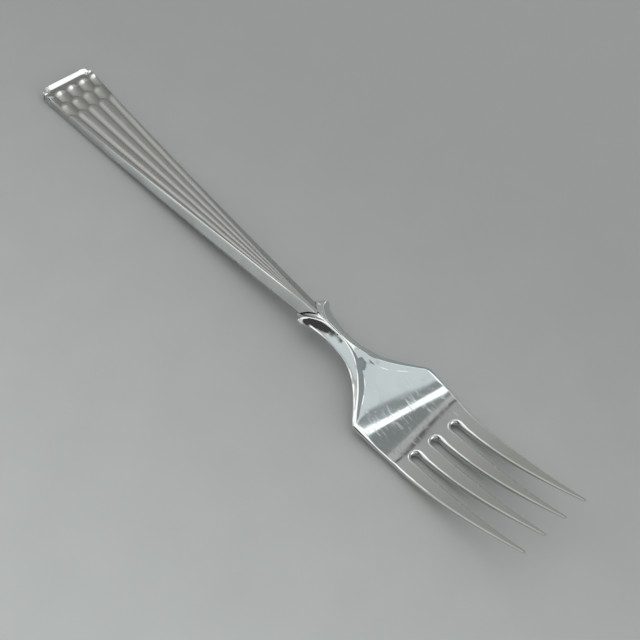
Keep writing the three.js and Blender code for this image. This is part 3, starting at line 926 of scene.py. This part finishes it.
def new_material(name):
    """A material with an empty tree, and the piece's own coordinates."""
    material = bpy.data.materials.new(name)
    material.use_nodes = True
    tree = material.node_tree
    tree.nodes.clear()
    return material, tree, tree.nodes.new("ShaderNodeTexCoord").outputs["Object"]


def add_shader(tree, inputs):
    """Ends a material's tree with its shader."""
    shader = add(tree, "ShaderNodeBsdfPrincipled", {}, inputs)
    add(tree, "ShaderNodeOutputMaterial", {}, {"Surface": shader.outputs["BSDF"]})


def polished_steel(finishes):
    """Mirror-polished steel with the fine scratches of use, and painted shade that darkens the tines."""
    material, tree, place = new_material("polished steel")
    marks = handling(tree, place, finishes.polish * 0.75, finishes.polish * 1.6)
    coarse = scratches(tree, place, COARSE_SCRATCHES)
    lines = plus(tree, coarse, scratches(tree, place, FINE_SCRATCHES), 0.4)
    darker_tone = toned(finishes.steel, HEAD_DULLING)
    tint = mix(tree, times(tree, marks["Smudge"], 0.5), tuple(finishes.steel), darker_tone)
    # Painted shade: a darker copy of the steel for the tines
    shaded_tone = toned(finishes.steel, *TINE_SHADE)
    add_shader(tree, {
        "Metallic": 1.0,
        "Base Color": mix(tree, spread(tree, split(tree, place)["X"], *TINES_SHADED), tint, shaded_tone),
        "Roughness": plus(tree, marks["Roughness"], lines, 0.06),
        "Normal": bump(tree, times(tree, lines, -1.0), 0.14, 0.000014),
    })
    return material


def reeded_steel(finishes):
    """Satin steel, with painted shade darkening its grooves, and bright where it is rubbed."""
    material, tree, place = new_material("reeded steel")
    marks = handling(tree, place, finishes.satin_polish * 0.8, finishes.satin_polish * 1.25)
    lines = scratches(tree, place, FINE_SCRATCHES)
    drawn = noise(tree, stretched(tree, place, DRAWN_GRAIN), 1.0, 3.0)
    open_face = spread(tree, attribute(tree, "relief"), 0.0, 0.85)
    # Painted shade: darker colour down in the grooves, lighter on the crests
    shaded_tone = mix(tree, open_face, tuple(finishes.groove_shade), tuple(finishes.satin))
    rubbed = attribute(tree, "rubbed")
    rough = plus(tree, marks["Roughness"], lines, 0.1)
    texture = plus(tree, times(tree, drawn, 0.08), lines, -0.08)
    add_shader(tree, {
        "Metallic": 1.0,
        "Base Color": mix(tree, rubbed, shaded_tone, tuple(finishes.steel)),
        "Roughness": times(tree, rough, spread(tree, rubbed, 0.0, 1.0, 1.0, RUBBED_POLISH)),
        "Normal": bump(tree, texture, 0.1, 0.00002),
    })
    return material


def plain_steel(finishes):
    """The back's steel, with scuffs from lying on tables."""
    material, tree, place = new_material("plain steel")
    marks = handling(tree, place, *BACK_ROUGHNESS)
    lines = scratches(tree, place, BACK_SCRATCHES)
    add_shader(tree, {
        "Metallic": 1.0,
        "Base Color": mix(tree, marks["Smudge"], tuple(finishes.back), toned(finishes.back, BACK_DULLING)),
        "Roughness": plus(tree, marks["Roughness"], lines, 0.2),
        "Normal": bump(tree, times(tree, lines, -1.0), 0.4, 0.00005),
    })
    return material


def cement(finishes):
    """Gritty cement that fills the handle."""
    material, tree, place = new_material("handle cement")
    grit = noise(tree, place, GRIT, 5.0)
    add_shader(tree, {
        "Specular IOR Level": 0.2,
        "Base Color": mix(tree, grit, tuple(finishes.cement), toned(finishes.cement, CEMENT_PALE)),
        "Roughness": spread(tree, grit, 0.2, 0.8, 0.75, 0.95),
        "Normal": bump(tree, grit, 0.5, 0.0001),
    })
    return material


def floor_stone(finishes):
    """Plain pale floor with the faintest mottling, and painted light: paler towards -Y and a little towards
    +X, darker towards +Y.
    """
    material, tree, place = new_material("pale floor")
    parts = split(tree, place)
    cloud = noise(tree, place, 60.0, 8.0)
    # Painted light: the floor's colour runs from a paler lit side to a darker shaded side
    shade = plus(tree, plus(tree, parts["Y"], parts["X"], -0.25), cloud, 0.03)
    lit_tone = toned(finishes.floor, FLOOR_LIT)
    darker_tone = toned(finishes.floor, FLOOR_SHADED)
    add_shader(tree, {
        "Base Color": mix(tree, spread(tree, shade, *FLOOR_LIGHT_FADES), lit_tone, darker_tone),
        "Roughness": spread(tree, cloud, 0.2, 0.8, 0.6, 0.75),
    })
    return material


# Stage

CAMERA_PLACE = (0.14754, -0.10565, 0.23302)
CAMERA_AZIMUTH = 49.91
CAMERA_ELEVATION = 54.13
CAMERA_ROLL = 0.22
CAMERA_LENS = 61.875
CAMERA_NEAREST = 0.01
FLOOR_HALF = 2.5

KEY_PLACE = (0.25, 0.42, 1.0)
KEY_TARGET = (0.05, 0.0, 0.0)
KEY_SIZE = 0.34
KEY_BRIGHTNESS = 0.45


def grey(tone):
    return (tone * 0.985, tone, tone * 0.985, 1.0)


def cool(tone):
    return (tone * 0.92, tone * 1.01, tone * 1.02, 1.0)


# A place on the ceiling is how far a direction goes along or across the fork for each step up.
# Its tones lie in two slanting rows of bands: place and tone.
FRONT_BANDS = (
    (0.15, 0.24), (0.199, 0.24), (0.206, 1.9), (0.240, 1.9), (0.247, 0.30), (0.296, 0.33), (0.312, 0.78),
    (0.68, 0.78), (0.73, 0.28), (1.3, 0.34),
)
FRONT_SLANT = 0.92
FRONT_EDGE = (0.199, 0.2)
REAR_BANDS = ((-0.7, 0.42), (-0.577, 0.42), (-0.573, 0.07), (-0.564, 0.07), (-0.560, 0.54), (-0.4, 0.54))
REAR_SLANT = -0.55
REAR_EDGE = (-0.538, -0.529)
REAR_TONE = cool(0.265)
NEAR_CEILING, NEAR_CEILING_EDGE = grey(0.42), (0.0, 0.12)
NEAR_WALL, NEAR_WALL_EDGE = grey(0.58), (-0.75, -0.6)

# Patches: from and to along, or in X for a wall, from and to across, and the tone
CEILING_PATCHES = (
    ((-0.72, 0.0), (-0.62, 0.34), grey(1.35)),
    ((0.03, 0.86), (-0.26, 0.27), cool(0.78)),  # for the bowl's far rim
    ((-0.27, -0.04), (0.54, 0.95), cool(1.4)),  # for the lip inside the far rim
    ((-2.0, -0.72), (-0.62, 0.05), grey(0.7)),
    ((-0.88, -0.7), (-0.5, 0.05), grey(1.5)),
)
CEILING_GAP = ((0.06, 0.5), (-0.72, -0.16), grey(0.06))
CEILING_BLUR = 0.03
WALL_PATCHES = (
    ((0.64, 1.5), (0.1, 4.0), grey(1.8)),
    ((-1.5, -0.3), (-40.0, -0.9), cool(0.78)),
)
WALL_BLUR = 0.05
# A dark doorway in the wall: the share of X, the share of Z and the level of each leaning side
DOORWAY_SIDES = ((1.0, -0.28, 0.47), (1.0, -0.55, 0.58), (-1.0, 0.0, 0.36))
DOORWAY = ((0.0, 2.0), (-40.0, -0.7), grey(0.06))
DOORWAY_BLUR = 0.025


def add_softbox():
    """The key light, which no piece mirrors."""
    lamp = bpy.data.lights.new("key softbox", "AREA")
    lamp.size = KEY_SIZE
    lamp.energy = KEY_BRIGHTNESS * math.pi * KEY_SIZE * KEY_SIZE
    box = add_object("key softbox", lamp)
    box.location = KEY_PLACE
    back = (Vector(KEY_PLACE) - Vector(KEY_TARGET)).normalized()
    side = Vector((1.0, 0.0, 0.0))
    side = (side - back * side.dot(back)).normalized()
    box.rotation_euler = Matrix((side, back.cross(side), back)).transposed().to_euler()
    box.visible_glossy = False


def add_patch(tree, tone, along, across, patch, blur):
    """Lays a soft-edged rectangle over the tones so far."""
    shade = 1.0
    for place, (low, high) in ((along, patch[0]), (across, patch[1])):
        shade = times(tree, shade, spread(tree, place, low - blur, low + blur))
        shade = times(tree, shade, spread(tree, place, high - blur, high + blur, 1.0, 0.0))
    return mix(tree, shade, tone, patch[2])


def ceiling_bands(tree, along, across, bands, slant, tint):
    """Tones of one slanting row of bands, and the place along the row."""
    first, last = bands[0][0], bands[-1][0]
    place = plus(tree, along, across, slant)
    share = math_node(tree, "DIVIDE", math_node(tree, "SUBTRACT", place, first), last - first)
    ramp = add(tree, "ShaderNodeValToRGB", {}, {"Fac": share})
    stops = ramp.color_ramp.elements
    stops[0].position, stops[0].color = 0.0, tint(bands[0][1])
    stops[1].position, stops[1].color = 1.0, tint(bands[-1][1])
    for spot, tone in bands[1:-1]:
        stops.new((spot - first) / (last - first)).color = tint(tone)
    return ramp.outputs["Color"], place


def doorway_depth(tree, parts):
    """Distance inside the nearest of the doorway's leaning sides."""
    depths = [
        plus(tree, plus(tree, level, parts["X"], sideways), parts["Z"], upward)
        for sideways, upward, level in DOORWAY_SIDES
    ]
    return math_node(tree, "MINIMUM", math_node(tree, "MINIMUM", depths[0], depths[1]), depths[2])


def set_world():
    """Soft grey walls, and a ceiling of softboxes with darker gaps between them."""
    world = bpy.data.worlds.new("studio")
    bpy.context.scene.world = world
    world.use_nodes = True
    tree = world.node_tree
    tree.nodes.clear()
    parts = split(tree, tree.nodes.new("ShaderNodeTexCoord").outputs["Generated"])
    upward = math_node(tree, "MAXIMUM", parts["Z"], 0.05)
    along = math_node(tree, "DIVIDE", parts["X"], upward)
    across = math_node(tree, "DIVIDE", parts["Y"], upward)
    front, front_place = ceiling_bands(tree, along, across, FRONT_BANDS, FRONT_SLANT, cool)
    rear, rear_place = ceiling_bands(tree, along, across, REAR_BANDS, REAR_SLANT, grey)
    rear = mix(tree, spread(tree, rear_place, *REAR_EDGE), rear, REAR_TONE)
    tone = mix(tree, spread(tree, front_place, *FRONT_EDGE), rear, front)
    tone = mix(tree, spread(tree, across, *NEAR_CEILING_EDGE), NEAR_CEILING, tone)
    tone = mix(tree, spread(tree, across, *NEAR_WALL_EDGE), NEAR_WALL, tone)
    for patch in CEILING_PATCHES:
        tone = add_patch(tree, tone, along, across, patch, CEILING_BLUR)
    for patch in WALL_PATCHES:
        tone = add_patch(tree, tone, parts["X"], across, patch, WALL_BLUR)
    tone = add_patch(tree, tone, doorway_depth(tree, parts), across, DOORWAY, DOORWAY_BLUR)
    tone = add_patch(tree, tone, along, across, CEILING_GAP, CEILING_BLUR)
    background = add(tree, "ShaderNodeBackground", {}, {"Color": tone})
    add(tree, "ShaderNodeOutputWorld", {}, {"Surface": background.outputs["Background"]})


def set_camera():
    """The camera, which looks down on the fork from its near side."""
    lens = bpy.data.cameras.new("camera")
    lens.lens = CAMERA_LENS
    lens.clip_start = CAMERA_NEAREST
    turn = Matrix.Rotation(math.radians(CAMERA_AZIMUTH), 4, "Z")
    tilt = Matrix.Rotation(math.radians(90.0 - CAMERA_ELEVATION), 4, "X")
    roll = Matrix.Rotation(math.radians(CAMERA_ROLL), 4, "Z")
    camera = add_object("camera", lens)
    camera.matrix_world = Matrix.Translation(CAMERA_PLACE) @ turn @ tilt @ roll
    bpy.context.scene.camera = camera


class FORK_OT_stage(bpy.types.Operator):
    """Adds the floor, the soft light and the camera"""

    bl_idname = "fork.stage"
    bl_label = "Stage"

    def execute(self, context):
        context.scene.view_settings.view_transform = "Standard"
        set_camera()
        set_world()
        add_softbox()
        bm = bmesh.new()
        bmesh.ops.create_grid(bm, x_segments=1, y_segments=1, size=FLOOR_HALF)
        floor = add_mesh(bm, "floor", floor_stone(context.scene.fork_finishes))
        return {"FINISHED"}


class FORK_OT_handle_front(bpy.types.Operator):
    """Adds the front of the handle, with its reeds and scales"""

    bl_idname = "fork.handle_front"
    bl_label = "Handle front"

    def execute(self, context):
        form = Handle(context.scene.fork_sizes)
        bm = handle_shell(form, front_rows(form), handle_columns(*FRONT_COLUMNS), form.front, -1)
        material = reeded_steel(context.scene.fork_finishes)
        finish_piece(bm, "handle_front", material, "handle_front_shell")
        return {"FINISHED"}


class FORK_OT_handle_back(bpy.types.Operator):
    """Adds the plain back of the handle"""

    bl_idname = "fork.handle_back"
    bl_label = "Handle back"

    def execute(self, context):
        form = Handle(context.scene.fork_sizes)
        bm = handle_shell(form, back_rows(form), handle_columns(*BACK_COLUMNS), form.rear, 1)
        material = plain_steel(context.scene.fork_finishes)
        finish_piece(bm, "handle_back", material, "handle_back_shell")
        return {"FINISHED"}


class FORK_OT_filler(bpy.types.Operator):
    """Gives the handle's filling its cement"""

    bl_idname = "fork.filler"
    bl_label = "Handle filling"

    def execute(self, context):
        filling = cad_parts["handle_filler"]
        grit = cement(context.scene.fork_finishes)
        for slot in filling.material_slots:
            slot.material = grit
        return {"FINISHED"}


class FORK_OT_head(bpy.types.Operator):
    """Adds the head: the horned collar, neck, bowl and tines"""

    bl_idname = "fork.head"
    bl_label = "Head"

    def execute(self, context):
        form = Head(context.scene.fork_sizes)
        rows, root = head_rows(form)
        step = TINE_COLUMNS + SLOT_COLUMNS
        bm = index_sheet(len(rows), TINES * step - SLOT_COLUMNS + 1)
        spots = [(face, face.calc_center_median()) for face in bm.faces]
        slots = [face for face, spot in spots if spot.x > root and spot.y % step > TINE_COLUMNS]
        bmesh.ops.delete(bm, geom=slots, context="FACES")
        add_under_side(bm, WALL_CUTS)
        shape_head(bm, form, rows, root)
        material = polished_steel(context.scene.fork_finishes)
        finish_piece(bm, "head", material, "fork_head")
        return {"FINISHED"}


class FORK_PT_panel(bpy.types.Panel):
    """Lists the fork's sizes, finishes and pieces"""

    bl_idname = "FORK_PT_panel"
    bl_label = "Dinner fork"
    bl_space_type = "VIEW_3D"
    bl_region_type = "UI"
    bl_category = "Fork"

    def draw(self, context):
        layout = self.layout
        for group in (context.scene.fork_sizes, context.scene.fork_finishes):
            column = layout.column()
            for name in group.__annotations__:
                column.prop(group, name)
        for operator in OPERATORS:
            layout.operator(operator.bl_idname)


OPERATORS = (FORK_OT_stage, FORK_OT_handle_front, FORK_OT_handle_back, FORK_OT_filler, FORK_OT_head)
CLASSES = (ForkSizes, ForkFinishes, *OPERATORS, FORK_PT_panel)


def register():
    for item in CLASSES:
        bpy.utils.register_class(item)
    bpy.types.Scene.fork_sizes = PointerProperty(type=ForkSizes)
    bpy.types.Scene.fork_finishes = PointerProperty(type=ForkFinishes)


def unregister():
    del bpy.types.Scene.fork_finishes
    del bpy.types.Scene.fork_sizes
    for item in reversed(CLASSES):
        bpy.utils.unregister_class(item)


def main():
    """Builds the whole scene."""
    register()
    bpy.ops.fork.stage()
    bpy.ops.fork.handle_front()
    bpy.ops.fork.handle_back()
    bpy.ops.fork.filler()
    bpy.ops.fork.head()
    bpy.context.view_layer.update()


if __name__ == "__main__":
    main()
